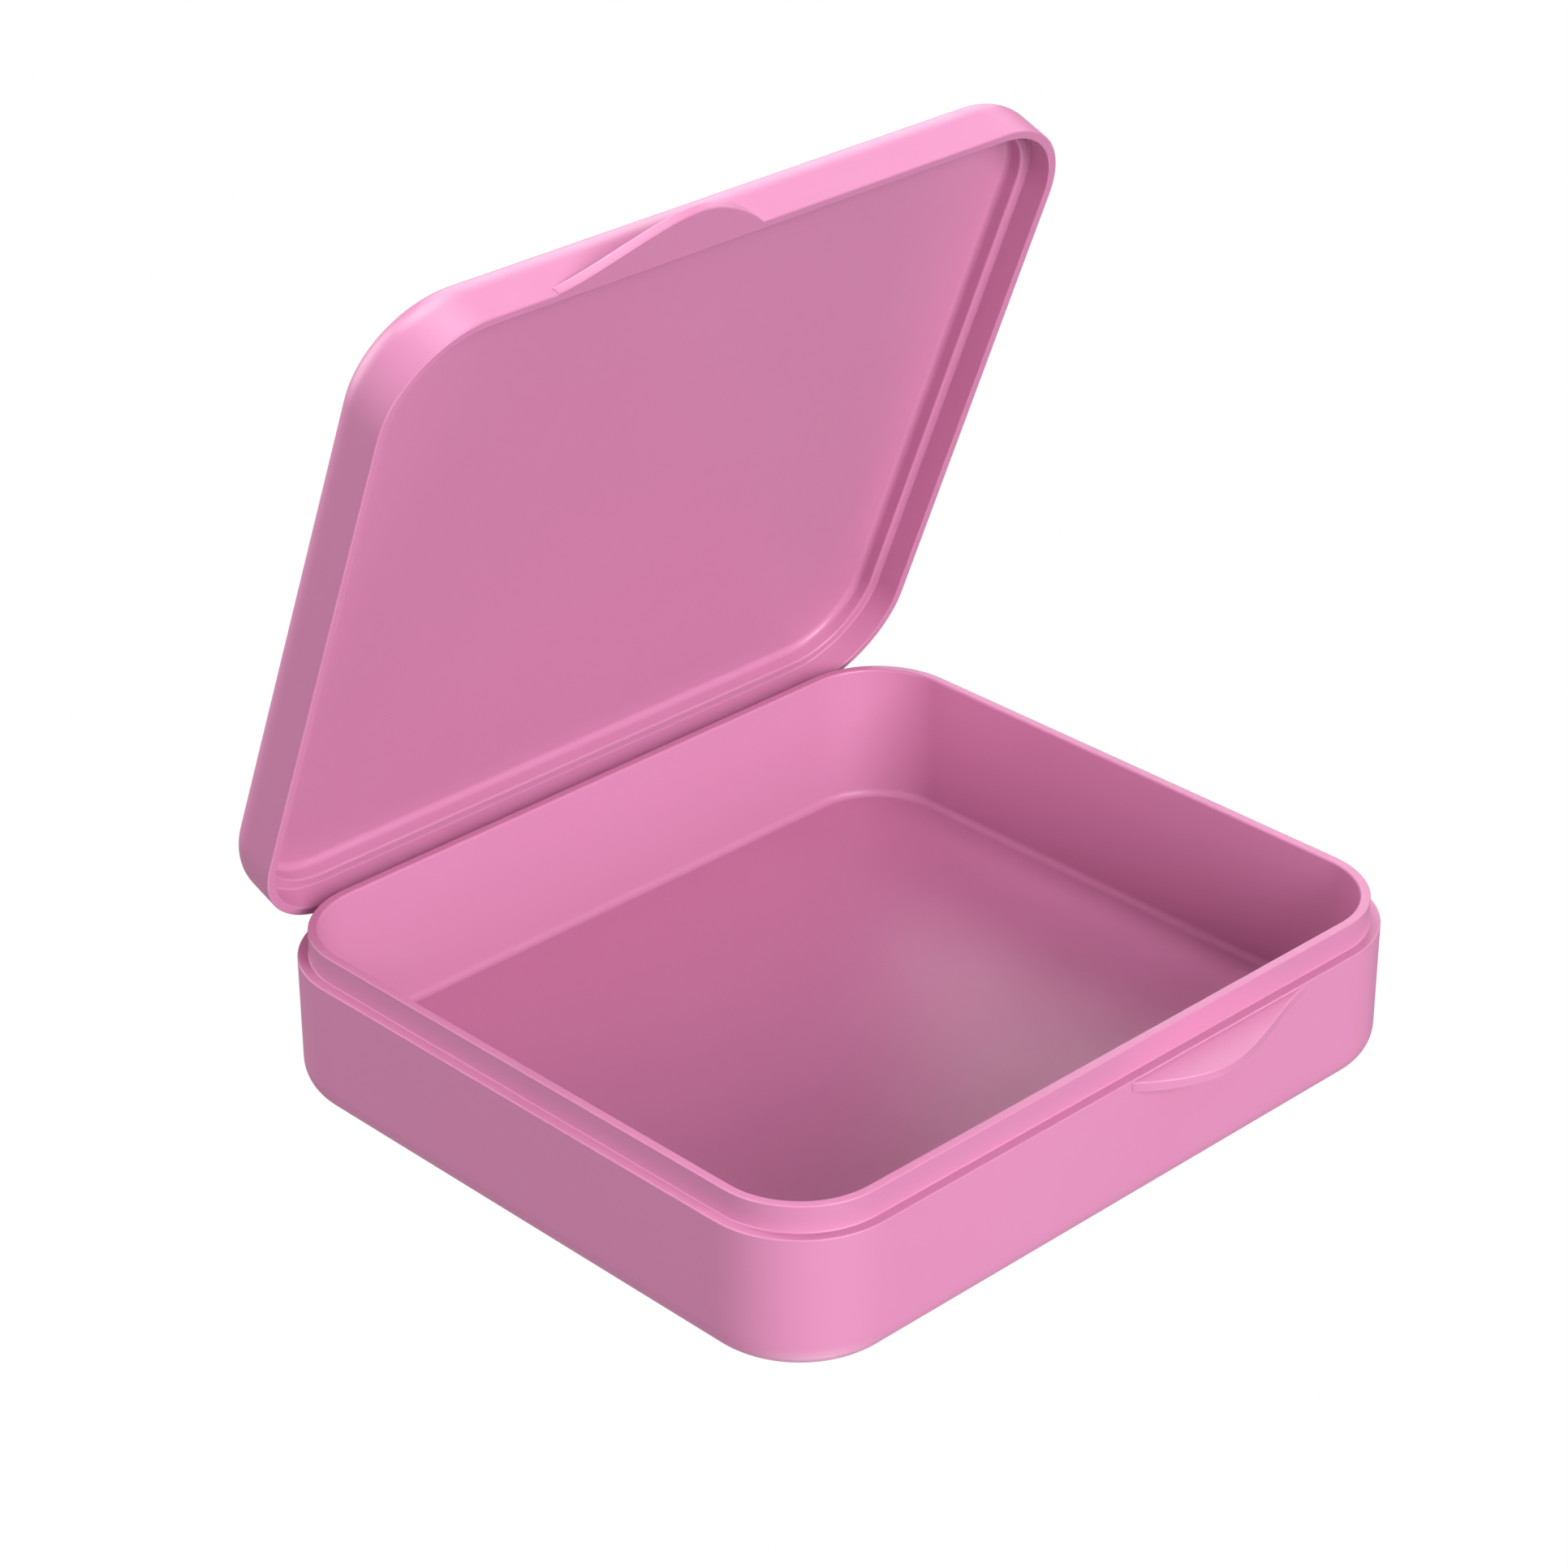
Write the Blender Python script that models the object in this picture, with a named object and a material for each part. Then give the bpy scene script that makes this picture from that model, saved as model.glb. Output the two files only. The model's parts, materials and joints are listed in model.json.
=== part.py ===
"""Small storage box: a tray and a shallow lid, joined along the rear rim by a moulded film hinge.

The origin is the middle of the tray's underside. +Z is up, the front with the thumb tabs faces -Y,
and the hinge runs along X at the rear. The lid is modelled closed and then opened about the hinge.
"""

import math

import bmesh
import bpy
from mathutils import Matrix, Vector

# Outline and heights of the two halves, in metres
WIDTH = 0.0800
DEPTH = 0.0702
TRAY_HEIGHT = 0.0136
LID_HEIGHT = 0.0064
CORNER_RADIUS = 0.0099
OUTER_ROUND = 0.0031
EDGE_ROUND = 0.00012

# Walls, lip and the recess that goes over it
WALL = 0.0020
LIP_INSET = 0.00105
LIP_HEIGHT = 0.0026
LIP_CLEARANCE = 0.00015
RIM_GAP = 0.0002

# Thumb tabs: one on the tray right of the middle, one on the lid left of it
TAB_LENGTH = 0.0232
TAB_REACH = 0.00395
TAB_THICKNESS = 0.0010
TRAY_TAB_DROP = 0.00015
LID_TAB_DROP = 0.00002

# Tab outline, along its length and out to its reach: the crest, and how far each handle runs
TAB_CREST_SHARE = 0.365
TAB_RISE_HANDLE_SHARES = (0.086, 0.44)
TAB_CREST_HANDLE_SHARES = (0.134, 0.181)
TAB_FALL_HANDLE_SHARES = (0.194, 0.17)

# Film hinge
HINGE_LENGTH = 0.0540
HINGE_SETBACK = 0.00015
FILM_THICKNESS = 0.0004
FILM_GAP = 0.0003
OPEN_ANGLE = math.radians(68.8)

# Fineness of the rounded stretches, and the overrun of every cut
CORNER_STEPS = 12
ROUND_STEPS = 5
EDGE_STEPS = 2
FILM_SIDES = 12
TAB_STEPS = 12
OVERRUN = 0.0005
SHARP_ANGLE = math.radians(30)

# Roundings: a radius and its steps
OUTER_ROUNDING = (OUTER_ROUND, ROUND_STEPS)
INNER_ROUNDING = (OUTER_ROUND - WALL, ROUND_STEPS)
EDGE_ROUNDING = (EDGE_ROUND, EDGE_STEPS)

# Plastic
PINK = (0.78, 0.27, 0.50, 1.0)
ROUGHNESS = 0.45


def clear_scene():
    """Remove every object that the file starts with."""
    for item in list(bpy.data.objects):
        bpy.data.objects.remove(item, do_unlink=True)


def new_collection(name):
    """Add a collection to the scene."""
    group = bpy.data.collections.new(name)
    bpy.context.scene.collection.children.link(group)
    return group


def plastic(name):
    """Pink injection-moulded polypropylene with a satin surface."""
    material = bpy.data.materials.new(name)
    material.use_nodes = True
    shader = material.node_tree.nodes["Principled BSDF"]
    shader.inputs["Base Color"].default_value = PINK
    shader.inputs["Roughness"].default_value = ROUGHNESS
    shader.inputs["Metallic"].default_value = 0.0
    return material


def add_object(name, mesh, group, parent=None):
    """Put a mesh in the scene under its name."""
    item = bpy.data.objects.new(name, mesh)
    group.objects.link(item)
    item.parent = parent
    return item


def add_cutter(name, mesh, group, parent=None):
    """Put a mesh in the scene as a shape that only cuts or joins another."""
    item = add_object(name, mesh, group, parent)
    item.hide_render = True
    item.display_type = "WIRE"
    return item


def lies_at(element, height):
    """True for an edge or a face that lies flat at one height."""
    return all(math.isclose(corner.co.z, height, abs_tol=EDGE_ROUND / 10) for corner in element.verts)


def faces_at(mesh, height):
    """The faces that lie flat at one height."""
    return [face for face in mesh.faces if lies_at(face, height)]


def bevel_level(mesh, height, rounding):
    """Round the edge loop that lies at one height. A rounding is a radius and a number of steps."""
    radius, steps = rounding
    loop = [edge for edge in mesh.edges if lies_at(edge, height)]
    bmesh.ops.bevel(
        mesh, geom=loop, offset=radius, segments=steps, profile=0.5, affect="EDGES"
    )


def flare_end(mesh, height, direction):
    """Run a cutter's end on at 45 degrees, so that it leaves a chamfer at the rim it cuts.

    Each corner of the outline grows about its own centre.
    """
    moved = bmesh.ops.extrude_discrete_faces(mesh, faces=faces_at(mesh, height))["faces"]
    run = EDGE_ROUND + OVERRUN
    for corner in {corner for face in moved for corner in face.verts}:
        centre = Vector(
            (
                math.copysign(WIDTH / 2 - CORNER_RADIUS, corner.co.x),
                math.copysign(DEPTH / 2 - CORNER_RADIUS, corner.co.y),
                height,
            )
        )
        outward = (corner.co - centre).normalized()
        corner.co += run * outward + Vector((0.0, 0.0, direction * run))


def rounded_block(name, inset, low, high, low_rounding=None, high_rounding=None, flare=0):
    """A block inside the box's outline, with its lower and upper edges rounded where asked.

    A flare of 1 opens a cutter at its upper end, and one of -1 at its lower end.
    """
    mesh = bmesh.new()
    bmesh.ops.create_cube(mesh, size=1.0)
    size = Matrix.Diagonal((WIDTH - 2 * inset, DEPTH - 2 * inset, high - low, 1.0))
    middle = Matrix.Translation((0.0, 0.0, (low + high) / 2))
    bmesh.ops.transform(mesh, matrix=middle @ size, verts=mesh.verts)
    uprights = [
        edge for edge in mesh.edges if abs(edge.verts[0].co.z - edge.verts[1].co.z) > (high - low) / 2
    ]
    bmesh.ops.bevel(
        mesh,
        geom=uprights,
        offset=CORNER_RADIUS - inset,
        segments=CORNER_STEPS,
        profile=0.5,
        affect="EDGES",
    )
    if low_rounding:
        bevel_level(mesh, low, low_rounding)
    if high_rounding:
        bevel_level(mesh, high, high_rounding)
    if flare:
        flare_end(mesh, high if flare > 0 else low, flare)
    data = bpy.data.meshes.new(name)
    mesh.to_mesh(data)
    mesh.free()
    return data


def tab_outline(name):
    """Crescent outline of a thumb tab, from the middle of the front wall out to its right.

    It rises steeply at the middle of the wall and runs out in a long low tail.
    """
    curve = bpy.data.curves.new(name, "CURVE")
    curve.dimensions = "2D"
    curve.fill_mode = "BOTH"
    curve.extrude = TAB_THICKNESS / 2
    curve.resolution_u = TAB_STEPS

    wall = -DEPTH / 2
    root = wall + WALL / 2
    crest = TAB_CREST_SHARE * TAB_LENGTH
    reach = wall - TAB_REACH
    start = (0.0, wall)
    end = (TAB_LENGTH, wall)
    rise = (TAB_RISE_HANDLE_SHARES[0] * TAB_LENGTH, wall - TAB_RISE_HANDLE_SHARES[1] * TAB_REACH)
    before = (crest - TAB_CREST_HANDLE_SHARES[0] * TAB_LENGTH, reach)
    after = (crest + TAB_CREST_HANDLE_SHARES[1] * TAB_LENGTH, reach)
    fall = (
        TAB_LENGTH - TAB_FALL_HANDLE_SHARES[0] * TAB_LENGTH,
        wall - TAB_FALL_HANDLE_SHARES[1] * TAB_REACH,
    )
    knots = (
        ((0.0, root), None, None),
        (start, None, rise),
        ((crest, reach), before, after),
        (end, fall, None),
        ((TAB_LENGTH, root), None, None),
    )
    spline = curve.splines.new("BEZIER")
    spline.use_cyclic_u = True
    spline.bezier_points.add(len(knots) - 1)
    for point, (place, left, right) in zip(spline.bezier_points, knots):
        point.co = (*place, 0.0)
        point.handle_left_type = "FREE" if left else "VECTOR"
        point.handle_right_type = "FREE" if right else "VECTOR"
        if left:
            point.handle_left = (*left, 0.0)
        if right:
            point.handle_right = (*right, 0.0)
    return curve


def tab_mesh(name, top, mirrored=False):
    """A thumb tab as a closed mesh, with its upper face at the given height."""
    curve = tab_outline(name)
    item = bpy.data.objects.new(name, curve)
    bpy.context.scene.collection.objects.link(item)
    depsgraph = bpy.context.evaluated_depsgraph_get()
    data = bpy.data.meshes.new_from_object(item.evaluated_get(depsgraph))
    bpy.data.objects.remove(item, do_unlink=True)
    bpy.data.curves.remove(curve)
    mesh = bmesh.new()
    mesh.from_mesh(data)
    bmesh.ops.remove_doubles(mesh, verts=mesh.verts, dist=EDGE_ROUND / 10)
    for level in (-TAB_THICKNESS / 2, TAB_THICKNESS / 2):
        bmesh.ops.dissolve_faces(mesh, faces=faces_at(mesh, level))
        bevel_level(mesh, level, EDGE_ROUNDING)
    bmesh.ops.translate(mesh, vec=(0.0, 0.0, top - TAB_THICKNESS / 2), verts=mesh.verts)
    if mirrored:
        bmesh.ops.scale(mesh, vec=(-1.0, 1.0, 1.0), verts=mesh.verts)
    bmesh.ops.recalc_face_normals(mesh, faces=mesh.faces)
    mesh.to_mesh(data)
    mesh.free()
    return data


def hinge_bar(name, radius, length):
    """A round bar along the hinge axis."""
    mesh = bmesh.new()
    bmesh.ops.create_cone(
        mesh,
        cap_ends=True,
        segments=FILM_SIDES,
        radius1=radius,
        radius2=radius,
        depth=length,
        matrix=Matrix.Rotation(math.pi / 2, 4, "Y"),
    )
    data = bpy.data.meshes.new(name)
    mesh.to_mesh(data)
    mesh.free()
    return data


def add_boolean(item, operation, other):
    """Join another shape to a piece, or cut it away."""
    modifier = item.modifiers.new(other.name, "BOOLEAN")
    modifier.operation = operation
    modifier.solver = "EXACT"
    modifier.object = other


def finish(item, material):
    """Give a piece its material, and smooth shading that keeps its flat faces flat."""
    item.data.materials.append(material)
    item.data.shade_smooth()
    item.data.set_sharp_from_angle(angle=SHARP_ANGLE)
    modifier = item.modifiers.new("flat_faces", "WEIGHTED_NORMAL")
    modifier.keep_sharp = True


def make_hinge_axis():
    """The hinge line, a little behind the rear wall and midway between the closed rims."""
    axis = bpy.data.objects.new("hinge_axis", None)
    bpy.context.scene.collection.objects.link(axis)
    axis.location = (0.0, DEPTH / 2 + HINGE_SETBACK, TRAY_HEIGHT + RIM_GAP / 2)
    return axis


def make_film(parts, axis):
    """The moulded film, drawn as the slim straight core that stays on the hinge line."""
    bar = hinge_bar("hinge_film", FILM_THICKNESS / 2, HINGE_LENGTH)
    film = add_object("hinge_film", bar, parts)
    film.location = axis.location
    finish(film, plastic("film_plastic"))
    return film


def make_relief(cutters, axis):
    """The groove that leaves both rims clear of the film."""
    bar = hinge_bar("film_relief", FILM_THICKNESS / 2 + FILM_GAP, HINGE_LENGTH + 2 * FILM_GAP)
    relief = add_cutter("film_relief", bar, cutters)
    relief.location = axis.location
    return relief


def make_tray(parts, cutters, relief):
    """The tray: a rounded box with a ledge, a raised lip, a smooth cavity and a thumb tab."""
    top = TRAY_HEIGHT + LIP_HEIGHT
    outside = rounded_block("base_tray", 0.0, 0.0, TRAY_HEIGHT, OUTER_ROUNDING, EDGE_ROUNDING)
    lip = rounded_block("tray_lip", LIP_INSET, WALL, top, None, EDGE_ROUNDING)
    tab = tab_mesh("tray_tab", TRAY_HEIGHT - TRAY_TAB_DROP)
    hollow = rounded_block("tray_hollow", WALL, WALL, top - EDGE_ROUND, INNER_ROUNDING, None, 1)

    tray = add_object("base_tray", outside, parts)
    add_boolean(tray, "UNION", add_cutter("tray_lip", lip, cutters))
    add_boolean(tray, "UNION", add_cutter("tray_tab", tab, cutters))
    add_boolean(tray, "DIFFERENCE", add_cutter("tray_hollow", hollow, cutters))
    add_boolean(tray, "DIFFERENCE", relief)
    finish(tray, plastic("tray_plastic"))
    return tray


def make_lid(parts, cutters, relief, axis):
    """The lid: a shallow rounded shell whose stepped recess goes over the tray's lip."""
    rim = TRAY_HEIGHT + RIM_GAP
    step = rim + LIP_HEIGHT
    top = rim + LID_HEIGHT
    rim_width = LIP_INSET - LIP_CLEARANCE
    outside = rounded_block("lid", 0.0, rim, top, EDGE_ROUNDING, OUTER_ROUNDING)
    tab = tab_mesh("lid_tab", rim + LID_TAB_DROP + TAB_THICKNESS, mirrored=True)
    recess = rounded_block("lid_recess", rim_width, rim + EDGE_ROUND, step, None, None, -1)
    hollow = rounded_block("lid_hollow", WALL, step + EDGE_ROUND, top - WALL, None, INNER_ROUNDING, -1)

    lid = add_object("lid", outside, parts, axis)
    add_boolean(lid, "UNION", add_cutter("lid_tab", tab, cutters, axis))
    add_boolean(lid, "DIFFERENCE", add_cutter("lid_recess", recess, cutters, axis))
    add_boolean(lid, "DIFFERENCE", add_cutter("lid_hollow", hollow, cutters, axis))
    add_boolean(lid, "DIFFERENCE", relief)
    for item in axis.children:
        item.location = -axis.location
    finish(lid, plastic("lid_plastic"))
    return lid


def main():
    """Build the box with its lid standing open, as it was photographed."""
    clear_scene()
    parts = new_collection("storage_box")
    cutters = new_collection("cutters")
    axis = make_hinge_axis()
    relief = make_relief(cutters, axis)
    make_tray(parts, cutters, relief)
    make_film(parts, axis)
    make_lid(parts, cutters, relief, axis)
    axis.rotation_euler.x = -OPEN_ANGLE
    bpy.context.view_layer.update()


main()
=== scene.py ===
"""Looks of the small storage box: its moulded tray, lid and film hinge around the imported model.

Everything is in metres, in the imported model's frame: +Z is up, the front faces -Y and the hinge runs
along X at the rear. The tray and the lid are closed skins. Each is one profile carried round the box's
outline, and along the front wall some rows of the profile are pushed out into the thumb tab.
"""

import json
import math

import bmesh
import bpy
import numpy as np
from bpy.props import FloatProperty, FloatVectorProperty, PointerProperty
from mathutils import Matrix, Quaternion, Vector


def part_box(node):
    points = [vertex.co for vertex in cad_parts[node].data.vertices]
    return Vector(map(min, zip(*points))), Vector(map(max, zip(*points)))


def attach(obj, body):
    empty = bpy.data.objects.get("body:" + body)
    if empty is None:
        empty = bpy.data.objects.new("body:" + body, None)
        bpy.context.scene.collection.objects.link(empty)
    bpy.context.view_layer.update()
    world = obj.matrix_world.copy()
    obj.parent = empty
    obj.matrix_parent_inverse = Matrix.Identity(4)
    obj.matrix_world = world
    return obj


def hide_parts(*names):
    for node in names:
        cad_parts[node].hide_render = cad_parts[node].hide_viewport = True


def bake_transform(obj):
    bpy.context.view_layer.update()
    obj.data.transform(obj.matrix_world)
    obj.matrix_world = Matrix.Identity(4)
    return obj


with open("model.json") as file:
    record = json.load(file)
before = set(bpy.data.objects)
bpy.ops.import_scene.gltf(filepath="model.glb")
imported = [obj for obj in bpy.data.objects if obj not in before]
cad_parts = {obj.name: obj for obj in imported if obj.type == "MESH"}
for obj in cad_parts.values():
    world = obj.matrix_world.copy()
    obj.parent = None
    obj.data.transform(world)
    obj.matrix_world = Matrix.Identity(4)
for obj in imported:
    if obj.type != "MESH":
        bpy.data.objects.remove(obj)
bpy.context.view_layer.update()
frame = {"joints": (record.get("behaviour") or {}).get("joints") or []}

bl_info = {
    "name": "Small storage box",
    "version": (1, 0, 0),
    "blender": (4, 5, 0),
    "location": "View3D > Sidebar > Storage box",
    "description": "Adds the moulded tray, lid and film hinge of a small storage box, and its studio",
    "category": "Object",
}

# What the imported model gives: the boxes of the tray and the film, the hinge line and how far the lid
# stands open
TRAY_LOW, TRAY_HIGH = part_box("base_tray")
FILM_LOW, FILM_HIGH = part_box("hinge_film")
HINGE = frame["joints"][0]
HINGE_POINT = Vector(HINGE["pos_m"])
OPEN_ANGLE = math.radians(-HINGE["range_deg"][0])
MILLIMETRE = 0.001

# Fineness of the skins
CORNER_STEPS = 32
ROUND_STEPS = 16
EDGE_STEPS = 5
TAB_STEPS = 28
FLOOR_STEPS = 6
FILM_STEPS = 16
FILM_LENGTH_STEPS = 48
PAPER_STEPS = 64
# A spare row this far from each rounding keeps the flat face beside it flat in the shading
HOLD = 0.03 * MILLIMETRE
# A spare station this far from each upright corner does the same for the walls
CORNER_HOLD = 0.3 * MILLIMETRE
# Points closer than this are one point, at the poles and where a tab has no reach
MERGE = 0.001 * MILLIMETRE
SHARP_ANGLE = math.radians(32)

# The thumb tab's crescent, as shares of its length and its reach
TAB_CREST_SHARE = 0.365
TAB_RISE_HANDLE_SHARES = (0.086, 0.44)
TAB_CREST_HANDLE_SHARES = (0.134, 0.181)
TAB_FALL_HANDLE_SHARES = (0.194, 0.17)

# How softly the film turns at the hinge line, as a share of its run: 0 is a fold
FILM_BEND_SHARE = 0.3

# Surface of the plastic: how far the roughness drifts, how many satin patches lie across a colour drift,
# the range that the noise mostly keeps to, and the depth and strength of the grain
ROUGHNESS_DRIFT = 0.03
PATCHES_PER_DRIFT = 6
NOISE_LOW = 0.3
NOISE_HIGH = 0.7
GRAIN_DEPTH = 0.003 * MILLIMETRE
GRAIN_STRENGTH = 0.5

# Camera, from the photograph's straight edges
VIEW_AZIMUTH = math.radians(-44.186)
VIEW_ELEVATION = math.radians(28.661)
VIEW_ROLL = math.radians(-0.108)
VIEW_TARGET = Vector((-0.01021, -0.00296, 0.03393))
VIEW_DISTANCE = 0.37602
LENS_MM = 99.82
SENSOR_MM = 36.0
# Nothing nearer to the camera than this share of its distance is drawn
NEAR_CLIP_SHARE = 0.01

# Softboxes of the studio: name, azimuth and elevation in degrees, diameter in metres, and how many stops
# each is below the key. One stop less is half the power.
SOFTBOXES = (
    ("front", -5, 20, 0.50, 0.0),
    ("front_high", 0, 60, 0.50, 3.5),
    ("left", -90, 5, 0.25, 1.5),
    ("right", 90, 30, 0.50, 2.5),
    ("rear_high", 180, 60, 0.50, 0.5),
    ("rear_left", 195, 15, 0.50, 1.5),
    ("rear_right", 140, 25, 0.50, 2.0),
    ("floor_bounce", 0, -80, 0.50, 1.0),
)


def linear(hex_colour):
    """An sRGB hex colour, such as "#DB85B0", as linear red, green, blue and an alpha of 1."""
    parts = np.array([int(hex_colour[place : place + 2], 16) for place in (1, 3, 5)]) / 255
    low, high = parts / 12.92, ((parts + 0.055) / 1.055) ** 2.4
    return (*(float(value) for value in np.where(parts <= 0.04045, low, high)), 1.0)


def length(name, description, default):
    """A length that a user can change in the panel."""
    return FloatProperty(
        name=name, description=description, default=default, min=0.0, unit="LENGTH", precision=5
    )


class BoxSizes(bpy.types.PropertyGroup):
    """Sizes of the box. Its width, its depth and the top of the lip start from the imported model."""

    width: length("Width", "Outer width of both halves", TRAY_HIGH.x - TRAY_LOW.x)
    depth: length("Depth", "Outer depth of both halves, without the tabs", 2 * TRAY_HIGH.y)
    lip_top: length("Lip top", "Height of the top of the tray's lip", TRAY_HIGH.z)
    lip_height: length("Lip height", "How far the lip stands above the tray's ledge", 0.0026)
    lid_height: length("Lid height", "Height of the lid from its rim to its top", 0.0064)
    corner_radius: length("Corner radius", "Radius of the upright corners", 0.0099)
    outer_round: length("Outer round", "Radius of the tray's bottom and the lid's top edge", 0.0031)
    edge_round: length("Edge round", "Radius of every fine moulded edge", 0.00012)
    inner_round: length("Inner round", "Radius inside each half, where its walls meet its panel", 0.0007)
    lip_round: length("Lip round", "Radius of the lip's inner edge and of the lid's step", 0.00022)
    wall: length("Wall", "Thickness of the walls, the floor and the lid's top", 0.0020)
    lip_inset: length("Lip inset", "Width of the ledge in front of the lip", 0.00105)
    lip_clearance: length("Lip clearance", "Room between the lip and the lid's recess", 0.00015)
    rim_gap: length("Rim gap", "Gap between the two rims when the lid is shut", 0.0002)


class TabSizes(bpy.types.PropertyGroup):
    """Sizes of the two thumb tabs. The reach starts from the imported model."""

    length: length("Length", "How far a tab runs from the middle of the front wall", 0.0232)
    reach: length("Reach", "How far a tab stands out of the front wall", -TRAY_HIGH.y - TRAY_LOW.y)
    thickness: length("Thickness", "Thickness of a tab", 0.0010)
    edge_round: length("Edge round", "Radius of the tabs' other long edges and of the lid's rim", 0.00015)
    back_round: length("Back round", "Radius of the edge on the back of the lid's tab", 0.00028)
    drop: length("Drop", "How far the tray's tab lies below its ledge", 0.00012)
    end_step: length("End step", "How far each end of a tab stands out of the wall", 0.0001)


class FilmSizes(bpy.types.PropertyGroup):
    """Sizes of the moulded film between the two rims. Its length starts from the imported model."""

    length: length("Length", "Length of the film along the rear rim", FILM_HIGH.x - FILM_LOW.x)
    thickness: length("Thickness", "Thickness of the film on the hinge line", 0.0003)
    flare: length("Flare", "How much thicker the film gets where it joins a rim", 0.00016)
    run: length("Run", "How far the film runs from the hinge line into each rim", 0.0004)


class PlasticLook(bpy.types.PropertyGroup):
    """Colours and surface of the plastic."""

    pigment: FloatVectorProperty(
        name="Pigment",
        description="Colour of the moulded plastic",
        subtype="COLOR",
        size=4,
        default=linear("#D78AB3"),
        min=0.0,
        max=1.0,
    )
    flow: FloatVectorProperty(
        name="Flow tint",
        description="Slightly deeper colour where the pigment gathered in the flow",
        subtype="COLOR",
        size=4,
        default=linear("#D586AF"),
        min=0.0,
        max=1.0,
    )
    roughness: FloatProperty(
        name="Roughness", description="Mean roughness of the satin surface", default=0.38, min=0.0, max=1.0
    )
    grain: length("Grain", "Size of the fine spark-eroded texture", 0.00030)
    flow_size: length("Flow size", "Size of the soft colour drifts", 0.018)


class StudioLook(bpy.types.PropertyGroup):
    """Floor, backdrop and lights of the studio."""

    paper: FloatVectorProperty(
        name="Paper",
        description="Colour of the floor and the backdrop",
        subtype="COLOR",
        size=4,
        default=linear("#FFFFFF"),
        min=0.0,
        max=1.0,
    )
    paper_glow: FloatProperty(
        name="Paper glow", description="How bright the paper looks to the camera", default=1.0, min=0.0
    )
    paper_sheen: FloatProperty(
        name="Paper sheen",
        description="How bright the floor is in the box's reflections",
        default=0.25,
        min=0.0,
    )
    floor_radius: length("Floor radius", "Radius of the round floor", 1.5)
    backdrop_radius: length("Backdrop radius", "Radius of the backdrop round the studio", 2.5)
    softbox_distance: length("Softbox distance", "How far each softbox stands from the box", 0.70)
    key_power: FloatProperty(
        name="Key power", description="Power of the brightest softbox, in watts", default=6.0, min=0.0
    )
    ambient: FloatProperty(
        name="Ambient", description="Even light of the room round the studio", default=0.002, min=0.0
    )


def quarter(centre, radius, start, turn, steps):
    """Quarter circle in the profile's plane: the centre plus the radius at an angle that runs from
    start by a quarter turn, as rows of inset and height. Turn is 1 or -1, and start is in degrees."""
    angle = np.radians(start + turn * np.linspace(0.0, 90.0, steps + 1))
    return np.stack((centre[0] + radius * np.cos(angle), centre[1] + radius * np.sin(angle)), axis=1)


def rows(points, follow=0.0, trim=0.0, gather=0.0):
    """Rows of a profile: inset, height, how far each follows the tab's reach, how much it stays short
    of the tab's edge, and how far it is gathered towards the middle of the box."""
    points = np.atleast_2d(np.asarray(points, float))
    extra = [np.broadcast_to(value, len(points)) for value in (follow, trim, gather)]
    return np.column_stack((points, *extra))


def flat_run(start, end):
    """A straight stretch between two roundings, with a spare row close to each of its ends."""
    start, end = np.asarray(start, float), np.asarray(end, float)
    step = (end - start) / np.linalg.norm(end - start) * HOLD
    return rows((start + step, end - step))


def panel_rows(inset, height, inwards):
    """A flat panel such as the floor: the same ring of points gathered step by step into the middle."""
    gather = np.linspace(0.0, 1.0, FLOOR_STEPS + 1)
    if not inwards:
        gather = gather[::-1]
    return rows(np.tile((inset + HOLD, height), (len(gather), 1)), gather=gather)


def tab_edge(height, radius, upper):
    """The rounded long edge of a tab. The row's inset stays zero, and its trim and height run round a
    quarter circle: from the lower face to the edge's face, or from there to the upper face."""
    angle = np.linspace(0.0, math.pi / 2, EDGE_STEPS + 1)
    if upper:
        trim, rise = radius * (1 - np.cos(angle)), radius * (np.sin(angle) - 1)
    else:
        trim, rise = radius * (1 - np.sin(angle)), radius * (1 - np.cos(angle))
    return rows(np.column_stack((np.zeros_like(angle), height + rise)), 1.0, trim)


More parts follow.
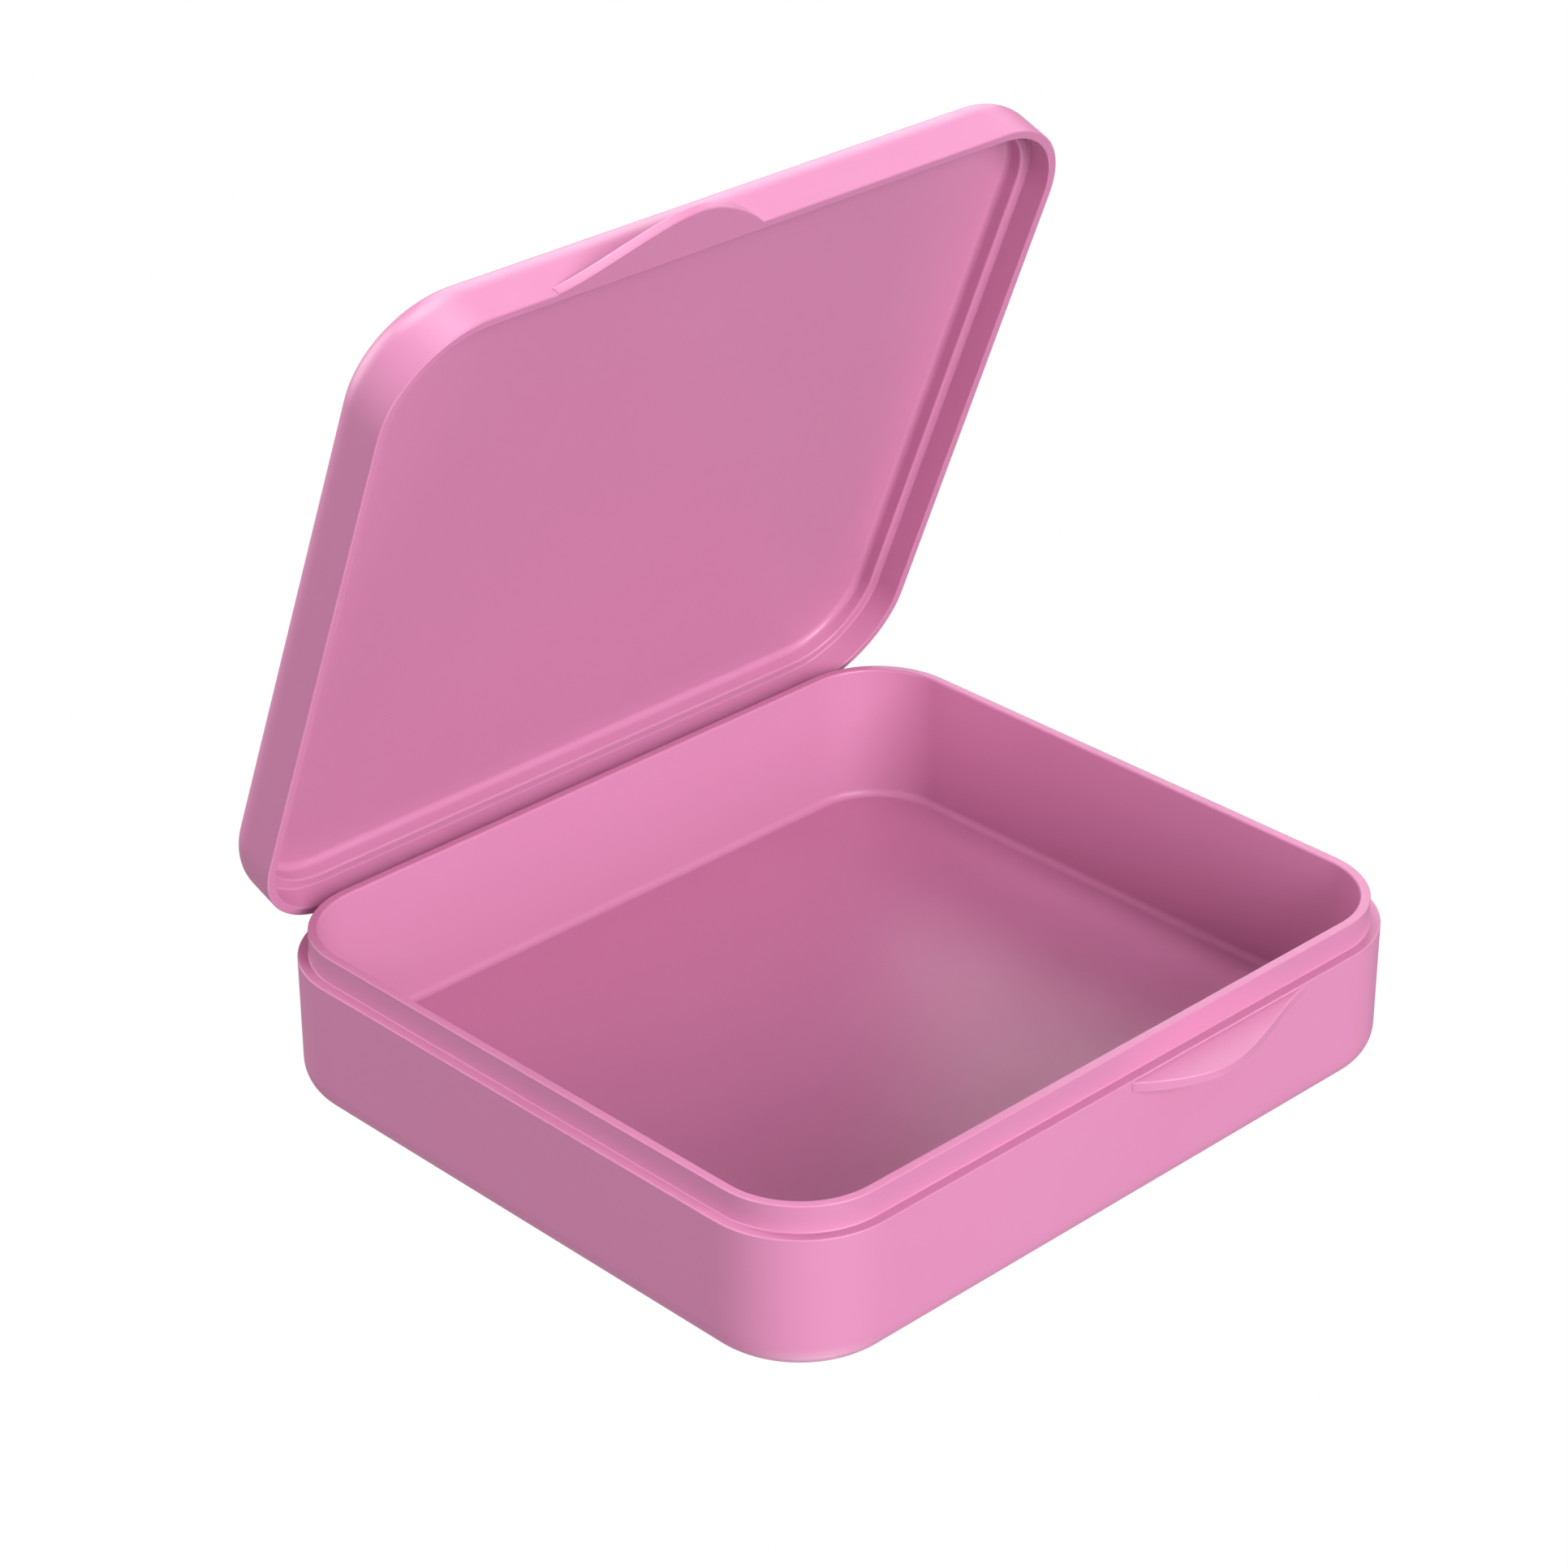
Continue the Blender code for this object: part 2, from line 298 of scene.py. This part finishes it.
def tray_profile(sizes, tab):
    """The tray's section, from the middle of its underside up the wall, over the ledge and the lip and
    down to the middle of its floor: quarter circles joined by straight stretches."""
    edge, radius, inner = sizes.edge_round, sizes.outer_round, sizes.inner_round
    ledge, top = sizes.lip_top - sizes.lip_height, sizes.lip_top
    tab_top = ledge - tab.drop
    tab_low = tab_top - tab.thickness
    tab_round, lip, round_lip = tab.edge_round, sizes.lip_inset, sizes.lip_round
    return np.vstack(
        (
            panel_rows(radius, 0.0, inwards=False),
            rows(quarter((radius, radius), radius, 270, -1, ROUND_STEPS)),
            flat_run((0.0, radius), (0.0, tab_low)),
            rows((0.0, tab_low)),
            rows((0.0, tab_low), 1.0, tab_round + HOLD),
            tab_edge(tab_low, tab_round, upper=False),
            rows(((0.0, tab_low + tab_round + HOLD), (0.0, tab_top - tab_round - HOLD)), 1.0),
            tab_edge(tab_top, tab_round, upper=True),
            rows((0.0, tab_top), 1.0, tab_round + HOLD),
            rows((0.0, tab_top)),
            rows(quarter((edge, ledge - edge), edge, 180, -1, EDGE_STEPS)),
            flat_run((edge, ledge), (lip - edge, ledge)),
            rows(quarter((lip - edge, ledge + edge), edge, 270, 1, EDGE_STEPS)),
            flat_run((lip, ledge + edge), (lip, top - edge)),
            rows(quarter((lip + edge, top - edge), edge, 180, -1, EDGE_STEPS)),
            flat_run((lip + edge, top), (sizes.wall - round_lip, top)),
            rows(quarter((sizes.wall - round_lip, top - round_lip), round_lip, 90, -1, EDGE_STEPS)),
            flat_run((sizes.wall, top - round_lip), (sizes.wall, sizes.wall + inner)),
            rows(quarter((sizes.wall + inner, sizes.wall + inner), inner, 180, 1, ROUND_STEPS)),
            panel_rows(sizes.wall + inner, sizes.wall, inwards=True),
        )
    )


def lid_profile(sizes, tab):
    """The shut lid's section, from the middle of its inside down the stepped wall, over the rim and up
    to the middle of its top. The tab's lower face lies in one plane with the rim."""
    edge, radius, inner = sizes.edge_round, sizes.outer_round, sizes.inner_round
    rim = sizes.lip_top - sizes.lip_height + sizes.rim_gap
    step, top, tab_top = rim + sizes.lip_height, rim + sizes.lid_height, rim + tab.thickness
    ceiling = top - sizes.wall
    tab_round, recess, round_lip = tab.edge_round, sizes.lip_inset - sizes.lip_clearance, sizes.lip_round
    return np.vstack(
        (
            panel_rows(sizes.wall + inner, ceiling, inwards=False),
            rows(quarter((sizes.wall + inner, ceiling - inner), inner, 90, 1, ROUND_STEPS)),
            flat_run((sizes.wall, ceiling - inner), (sizes.wall, step + round_lip)),
            rows(quarter((sizes.wall - round_lip, step + round_lip), round_lip, 0, -1, EDGE_STEPS)),
            flat_run((sizes.wall - round_lip, step), (recess + edge, step)),
            rows(quarter((recess + edge, step - edge), edge, 90, 1, EDGE_STEPS)),
            flat_run((recess, step - edge), (recess, rim + edge)),
            rows(quarter((recess - edge, rim + edge), edge, 0, -1, EDGE_STEPS)),
            flat_run((recess - edge, rim), (tab_round + HOLD, rim)),
            rows((tab_round + HOLD, rim), 1.0),
            rows(quarter((tab_round, rim + tab_round), tab_round, 270, -1, EDGE_STEPS), 1.0),
            rows(((0.0, rim + tab_round + HOLD), (0.0, tab_top - tab.back_round - HOLD)), 1.0),
            tab_edge(tab_top, tab.back_round, upper=True),
            rows((0.0, tab_top), 1.0, tab.back_round + HOLD),
            rows((0.0, tab_top)),
            flat_run((0.0, tab_top), (0.0, top - radius)),
            rows(quarter((radius, top - radius), radius, 180, -1, ROUND_STEPS)),
            panel_rows(radius, top, inwards=True),
        )
    )


def crescent(tab):
    """The tab's outline: two cubic Bezier stretches that meet at the crest, above a small end step.
    Returns the distance from the middle of the front wall and the reach out of it, with points closer
    together at both ends."""
    size = np.array((tab.length, tab.reach - tab.end_step))
    crest = TAB_CREST_SHARE
    low_handle, high_handle = TAB_CREST_HANDLE_SHARES
    fall_along, fall_out = TAB_FALL_HANDLE_SHARES
    rise = np.array(((0, 0), TAB_RISE_HANDLE_SHARES, (crest - low_handle, 1), (crest, 1)))
    fall = np.array(((crest, 1), (crest + high_handle, 1), (1 - fall_along, fall_out), (1, 0)))
    part = np.linspace(0.0, math.pi / 2, TAB_STEPS + 1)[:, None]
    stretches = []
    for knots, t in ((rise, 1 - np.cos(part)), (fall, np.sin(part))):
        weights = ((1 - t) ** 3, 3 * (1 - t) ** 2 * t, 3 * (1 - t) * t**2, t**3)
        stretches.append(sum(weight * knot for weight, knot in zip(weights, knots)) * size)
    return np.vstack((stretches[0], stretches[1][1:])) + (0.0, tab.end_step)


def outline(sizes, tab, side):
    """Stations round the box, anticlockwise seen from above: the place on the outer wall, the direction
    out of it, and the tab's reach there. Corners are quarter circles, and side is 1 for a tab that runs
    to the right of the middle and -1 for one to the left."""
    half = np.array((sizes.width, sizes.depth)) / 2 - sizes.corner_radius
    signs = np.array(((1, -1), (1, 1), (-1, 1), (-1, -1)))
    angle = np.linspace(0.0, math.pi / 2, CORNER_STEPS + 1)
    front = crescent(tab) * (side, 1)
    before, after = (front[0, 0] - side * HOLD, 0.0), (front[-1, 0] + side * HOLD, 0.0)
    front = np.vstack((before, front, after))[::side]
    places = [np.column_stack((front[:, 0], np.full(len(front), -sizes.depth / 2)))]
    outwards = [np.tile((0.0, -1.0), (len(front), 1))]
    for number, sign in enumerate(signs):
        turn = angle + math.radians(90 * (number - 1))
        out = np.column_stack((np.cos(turn), np.sin(turn)))
        arc = sign * half + sizes.corner_radius * out
        along = np.array((-out[:, 1], out[:, 0])).T
        places.append(np.vstack((arc[0] - CORNER_HOLD * along[0], arc, arc[-1] + CORNER_HOLD * along[-1])))
        outwards.append(np.vstack((out[0], out, out[-1])))
    places, outwards = np.vstack(places), np.vstack(outwards)
    reach = np.zeros(len(places))
    reach[: len(front)] = front[:, 1]
    return places, outwards, reach


def carry(profile, places, outwards, reach):
    """Points of a profile carried round the outline. A point lies on the outer wall, moved inwards by
    the row's inset and outwards by what the row takes of the tab's reach, then gathered to the middle."""
    inset, height, follow, trim, gather = (column[:, None] for column in profile.T)
    out = follow * np.maximum(reach[None, :] - trim, 0.0) - inset
    flat = (places[None] + out[..., None] * outwards[None]) * (1 - gather)[..., None]
    return np.concatenate((flat, np.broadcast_to(height[..., None], (*out.shape, 1))), axis=2)


def turned(rearwards, upwards):
    """A step from the hinge line on the shut lid, turned by the angle that the lid stands open."""
    cosine, sine = math.cos(OPEN_ANGLE), math.sin(OPEN_ANGLE)
    return rearwards * cosine + upwards * sine, upwards * cosine - rearwards * sine


def turned_open(points):
    """The shut lid's points turned about the hinge line by the angle that the lid stands open."""
    y, z = turned(points[..., 1] - HINGE_POINT.y, points[..., 2] - HINGE_POINT.z)
    return np.stack((points[..., 0], HINGE_POINT.y + y, HINGE_POINT.z + z), axis=-1)


def mesh_from_rings(name, grid):
    """A mesh from a grid of points whose columns run round a loop: each face joins two neighbours of one
    ring with the same two of the next ring."""
    count, around = grid.shape[:2]
    index = np.arange(count * around).reshape(count, around)
    following = np.roll(index, -1, axis=1)
    quads = np.stack((index[:-1], following[:-1], following[1:], index[1:]), axis=-1).reshape(-1, 4)
    mesh = bpy.data.meshes.new(name)
    mesh.from_pydata(grid.reshape(-1, 3), [], quads.tolist())
    return mesh


def skin(name, grid):
    """A closed mesh from a grid of rings. The rings at both ends lie in one point each, as poles.

    Points that coincide are merged, so the mesh has no seam, hole or face without area."""
    mesh = mesh_from_rings(name, grid)
    work = bmesh.new()
    work.from_mesh(mesh)
    bmesh.ops.remove_doubles(work, verts=work.verts, dist=MERGE)
    bmesh.ops.dissolve_degenerate(work, edges=work.edges, dist=MERGE)
    if any(not line.is_manifold for line in work.edges):
        raise RuntimeError(f"{name} is not a closed skin")
    work.to_mesh(mesh)
    work.free()
    mesh.shade_smooth()
    mesh.set_sharp_from_angle(angle=SHARP_ANGLE)
    return mesh


def add_piece(name, mesh, material, node):
    """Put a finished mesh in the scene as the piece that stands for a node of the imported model."""
    old = bpy.data.objects.get(name)
    if old:
        bpy.data.objects.remove(old, do_unlink=True)
    piece = bpy.data.objects.new(name, mesh)
    bpy.context.scene.collection.objects.link(piece)
    mesh.materials.append(material)
    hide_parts(node)
    return piece


def add_node(tree, kind, values=None, links=None, **settings):
    """Add a shader node with its settings, its socket values and its incoming links."""
    node = tree.nodes.new(kind)
    for name, value in settings.items():
        setattr(node, name, value)
    for socket, value in (values or {}).items():
        node.inputs[socket].default_value = value
    for socket, source in (links or {}).items():
        tree.links.new(source, node.inputs[socket])
    return node


def moulded_polypropylene(name, look):
    """Injection-moulded polypropylene from a spark-eroded steel mould.

    To the eye it is an even pigmented pink with a satin sheen. The pigment drifts very slightly along
    the flow, and the mould's fine texture softens each highlight."""
    material = bpy.data.materials.new(name)
    material.use_nodes = True
    tree = material.node_tree
    tree.nodes.clear()
    place = add_node(tree, "ShaderNodeTexCoord")
    # Colour drifts about 18 mm across
    drift = add_node(
        tree,
        "ShaderNodeTexNoise",
        {"Scale": 1 / look.flow_size, "Detail": 2.0, "Roughness": 0.5},
        {"Vector": place.outputs["Object"]},
    )
    colour = add_node(
        tree,
        "ShaderNodeMix",
        {"A": look.pigment, "B": look.flow},
        {"Factor": drift.outputs["Fac"]},
        data_type="RGBA",
    )
    # Satin patches about 3 mm across, where the mould's texture is a little more or less worn
    patches = add_node(
        tree,
        "ShaderNodeTexNoise",
        {"Scale": PATCHES_PER_DRIFT / look.flow_size, "Detail": 3.0, "Roughness": 0.55},
        {"Vector": place.outputs["Object"]},
    )
    satin = add_node(
        tree,
        "ShaderNodeMapRange",
        {
            "From Min": NOISE_LOW,
            "From Max": NOISE_HIGH,
            "To Min": look.roughness - ROUGHNESS_DRIFT,
            "To Max": look.roughness + ROUGHNESS_DRIFT,
        },
        {"Value": patches.outputs["Fac"]},
    )
    # The real spark-eroded texture is 0.05 mm or finer. It is drawn at 0.3 mm so that it can show.
    grain = add_node(
        tree,
        "ShaderNodeTexNoise",
        {"Scale": 1 / look.grain, "Detail": 2.0, "Roughness": 0.6},
        {"Vector": place.outputs["Object"]},
    )
    relief = add_node(
        tree,
        "ShaderNodeBump",
        {"Strength": GRAIN_STRENGTH, "Distance": GRAIN_DEPTH},
        {"Height": grain.outputs["Fac"]},
    )
    shader = add_node(
        tree,
        "ShaderNodeBsdfPrincipled",
        {"IOR": 1.49, "Metallic": 0.0},
        {
            "Base Color": colour.outputs["Result"],
            "Roughness": satin.outputs["Result"],
            "Normal": relief.outputs["Normal"],
        },
    )
    add_node(tree, "ShaderNodeOutputMaterial", links={"Surface": shader.outputs["BSDF"]})
    return material


def backlit_paper(look):
    """Matt white studio paper lit from behind. The camera sees an even white ground without shadows, and
    the box mirrors it much more faintly, as light that leaves paper at a low angle."""
    material = bpy.data.materials.new("backlit_studio_paper")
    material.use_nodes = True
    tree = material.node_tree
    tree.nodes.clear()
    path = add_node(tree, "ShaderNodeLightPath")
    glow = add_node(
        tree,
        "ShaderNodeMapRange",
        {"To Min": look.paper_sheen, "To Max": look.paper_glow},
        {"Value": path.outputs["Is Camera Ray"]},
    )
    shader = add_node(
        tree, "ShaderNodeEmission", {"Color": look.paper}, {"Strength": glow.outputs["Result"]}
    )
    add_node(tree, "ShaderNodeOutputMaterial", links={"Surface": shader.outputs["Emission"]})
    return material


class STORAGEBOX_OT_tray(bpy.types.Operator):
    """Add the tray with its ledge, lip, smooth cavity and thumb tab"""

    bl_idname = "storagebox.tray"
    bl_label = "Add tray"

    def execute(self, context):
        scene = context.scene
        stations = outline(scene.storagebox_sizes, scene.storagebox_tab, side=1)
        grid = carry(tray_profile(scene.storagebox_sizes, scene.storagebox_tab), *stations)
        plastic = moulded_polypropylene("moulded_polypropylene_tray", scene.storagebox_plastic)
        tray = add_piece("tray_shell", skin("tray_shell", grid), plastic, "base_tray")
        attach(tray, "tray")
        return {"FINISHED"}


class STORAGEBOX_OT_lid(bpy.types.Operator):
    """Add the lid with its rim, stepped recess, rounded top and thumb tab"""

    bl_idname = "storagebox.lid"
    bl_label = "Add lid"

    def execute(self, context):
        scene = context.scene
        stations = outline(scene.storagebox_sizes, scene.storagebox_tab, side=-1)
        grid = turned_open(carry(lid_profile(scene.storagebox_sizes, scene.storagebox_tab), *stations))
        plastic = moulded_polypropylene("moulded_polypropylene_lid", scene.storagebox_plastic)
        lid = add_piece("lid_shell", skin("lid_shell", grid), plastic, "lid")
        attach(lid, "lid")
        return {"FINISHED"}


def film_directions():
    """Unit steps of Y and Z from the hinge line into the tray's rear edge and into the open lid's."""
    return np.array((-1.0, -1.0)) / math.sqrt(2), np.array(turned(-1.0, 1.0)) / math.sqrt(2)


def film_grid(sizes):
    """The film between the rims. Its middle line runs from the tray's rear edge to the hinge line and on
    to the lid's rear edge, with a soft bend, and its thickness grows with the square of the distance from
    the hinge line. The section is a flat oval round that line, carried along X."""
    towards_tray, towards_lid = film_directions()
    angle = np.linspace(0.0, 2 * math.pi, 2 * FILM_STEPS, endpoint=False)
    along, side = np.cos(angle), np.sin(angle)
    to_lid = (np.sqrt(along**2 + FILM_BEND_SHARE**2) + along) / 2
    to_tray = to_lid - along
    middle = sizes.run * (to_tray[:, None] * towards_tray + to_lid[:, None] * towards_lid)
    ahead = towards_lid - towards_tray
    across = np.array((-ahead[1], ahead[0])) / np.linalg.norm(ahead)
    half = (sizes.thickness + sizes.flare * along**2) / 2
    section = middle + (side * half)[:, None] * across + (HINGE_POINT.y, HINGE_POINT.z)
    x = np.linspace(-sizes.length / 2, sizes.length / 2, FILM_LENGTH_STEPS)
    x = np.concatenate((x[:1], x, x[-1:]))
    shrink = np.ones(len(x))
    shrink[[0, -1]] = 0.0
    centre = section.mean(axis=0)
    ring = centre + shrink[:, None, None] * (section - centre)
    return np.concatenate((np.broadcast_to(x[:, None, None], (*ring.shape[:2], 1)), ring), axis=2)


class STORAGEBOX_OT_film(bpy.types.Operator):
    """Add the moulded film that joins both rims and bends between them"""

    bl_idname = "storagebox.film"
    bl_label = "Add film hinge"

    def execute(self, context):
        scene = context.scene
        sizes = scene.storagebox_film
        plastic = moulded_polypropylene("moulded_polypropylene_film", scene.storagebox_plastic)
        mesh = skin("film_web", film_grid(sizes))
        film = add_piece("film_web", mesh, plastic, "hinge_film")
        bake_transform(film)
        return {"FINISHED"}


def look_at(item, place, target, roll=0.0):
    """Put a camera or light at a place, facing a target, turned about its own line of sight."""
    item.location = place
    item.rotation_mode = "QUATERNION"
    turn = (target - place).to_track_quat("-Z", "Y")
    item.rotation_quaternion = turn @ Quaternion((0.0, 0.0, 1.0), roll)


def direction(azimuth, elevation):
    """Unit vector from the box towards a viewer. Azimuth 0 stands in front, and 90 degrees at +X."""
    return Vector(
        (
            math.sin(azimuth) * math.cos(elevation),
            -math.cos(azimuth) * math.cos(elevation),
            math.sin(elevation),
        )
    )


def add_camera(scene):
    """The camera at the photograph's viewing angle."""
    data = bpy.data.cameras.new("camera")
    data.lens = LENS_MM
    data.sensor_width = SENSOR_MM
    data.sensor_fit = "HORIZONTAL"
    data.dof.use_dof = False
    data.clip_start = VIEW_DISTANCE * NEAR_CLIP_SHARE
    camera = bpy.data.objects.new("camera", data)
    scene.collection.objects.link(camera)
    place = VIEW_TARGET + VIEW_DISTANCE * direction(VIEW_AZIMUTH, VIEW_ELEVATION)
    look_at(camera, place, VIEW_TARGET, VIEW_ROLL)
    scene.camera = camera


def add_paper(scene, name, grid, material, mirrored):
    """A stage object that throws no light or shadow on the box. Mirrored lets the box reflect it."""
    mesh = mesh_from_rings(name, grid)
    mesh.materials.append(material)
    mesh.shade_smooth()
    paper = bpy.data.objects.new(name, mesh)
    paper.visible_diffuse = False
    paper.visible_glossy = mirrored
    paper.visible_transmission = False
    paper.visible_shadow = False
    scene.collection.objects.link(paper)


def floor_grid(radius):
    """A flat disc: rings round the middle whose radius grows in even steps."""
    around = np.linspace(0.0, 2 * math.pi, PAPER_STEPS, endpoint=False)
    out = radius * np.linspace(1.0, 1 / PAPER_STEPS, PAPER_STEPS)[:, None]
    height = np.zeros((PAPER_STEPS, PAPER_STEPS))
    return np.stack((out * np.cos(around), out * np.sin(around), height), axis=-1)


def backdrop_grid(radius):
    """A ball round the studio, from its lowest point to its highest."""
    around = np.linspace(0.0, 2 * math.pi, PAPER_STEPS, endpoint=False)
    up = np.linspace(math.pi, 0.0, PAPER_STEPS)[:, None]
    height = np.broadcast_to(np.cos(up), (PAPER_STEPS, PAPER_STEPS))
    return radius * np.stack((np.sin(up) * np.cos(around), np.sin(up) * np.sin(around), height), axis=-1)


def add_lights(scene, look):
    """Round softboxes at one distance, one of them under the paper floor, and a faint even light."""
    middle = Vector((0.0, 0.0, VIEW_TARGET.z))
    for name, azimuth, elevation, diameter, stops in SOFTBOXES:
        data = bpy.data.lights.new(name, "AREA")
        data.shape = "DISK"
        data.size = diameter
        data.energy = look.key_power / 2**stops
        light = bpy.data.objects.new(name, data)
        light.visible_camera = False
        scene.collection.objects.link(light)
        place = direction(math.radians(azimuth), math.radians(elevation))
        look_at(light, middle + look.softbox_distance * place, middle)
    world = bpy.data.worlds.new("studio")
    world.use_nodes = True
    world.node_tree.nodes["Background"].inputs["Color"].default_value = (1.0, 1.0, 1.0, 1.0)
    world.node_tree.nodes["Background"].inputs["Strength"].default_value = look.ambient
    scene.world = world


class STORAGEBOX_OT_studio(bpy.types.Operator):
    """Add the pale floor, the backdrop, the soft lights and the camera"""

    bl_idname = "storagebox.studio"
    bl_label = "Add studio"

    def execute(self, context):
        scene = context.scene
        look = scene.storagebox_studio
        paper = backlit_paper(look)
        add_paper(scene, "floor", floor_grid(look.floor_radius), paper, mirrored=True)
        add_paper(scene, "backdrop", backdrop_grid(look.backdrop_radius), paper, mirrored=False)
        add_lights(scene, look)
        add_camera(scene)
        scene.view_settings.view_transform = "Standard"
        # Light bounces only once inside the box, which keeps its inner corners deep
        scene.cycles.diffuse_bounces = 1
        return {"FINISHED"}


class STORAGEBOX_PT_panel(bpy.types.Panel):
    """Sizes, colours and the buttons that add each piece"""

    bl_idname = "STORAGEBOX_PT_panel"
    bl_label = "Storage box"
    bl_space_type = "VIEW_3D"
    bl_region_type = "UI"
    bl_category = "Storage box"

    def draw(self, context):
        for group in GROUPS:
            holder = getattr(context.scene, group)
            column = self.layout.column(align=True)
            column.label(text=GROUPS[group][1])
            for name in holder.bl_rna.properties.keys():
                if name not in ("rna_type", "name"):
                    column.prop(holder, name)
        for operator in PIECES:
            self.layout.operator(operator.bl_idname)


# Each settings group of the scene, with its class and its heading in the panel
GROUPS = {
    "storagebox_sizes": (BoxSizes, "Box"),
    "storagebox_tab": (TabSizes, "Thumb tabs"),
    "storagebox_film": (FilmSizes, "Film hinge"),
    "storagebox_plastic": (PlasticLook, "Plastic"),
    "storagebox_studio": (StudioLook, "Studio"),
}
PIECES = (STORAGEBOX_OT_tray, STORAGEBOX_OT_lid, STORAGEBOX_OT_film, STORAGEBOX_OT_studio)


def register():
    """Make the settings, the operators and the panel known to Blender."""
    for name, (group, _) in GROUPS.items():
        bpy.utils.register_class(group)
        setattr(bpy.types.Scene, name, PointerProperty(type=group))
    for item in (*PIECES, STORAGEBOX_PT_panel):
        bpy.utils.register_class(item)


def unregister():
    """Take the settings, the operators and the panel away again."""
    for item in (STORAGEBOX_PT_panel, *reversed(PIECES)):
        bpy.utils.unregister_class(item)
    for name, (group, _) in GROUPS.items():
        delattr(bpy.types.Scene, name)
        bpy.utils.unregister_class(group)


def main():
    """Build every piece and the studio."""
    register()
    bpy.ops.storagebox.tray()
    bpy.ops.storagebox.lid()
    bpy.ops.storagebox.film()
    bpy.ops.storagebox.studio()
    bpy.context.view_layer.update()


if __name__ == "__main__":
    main()
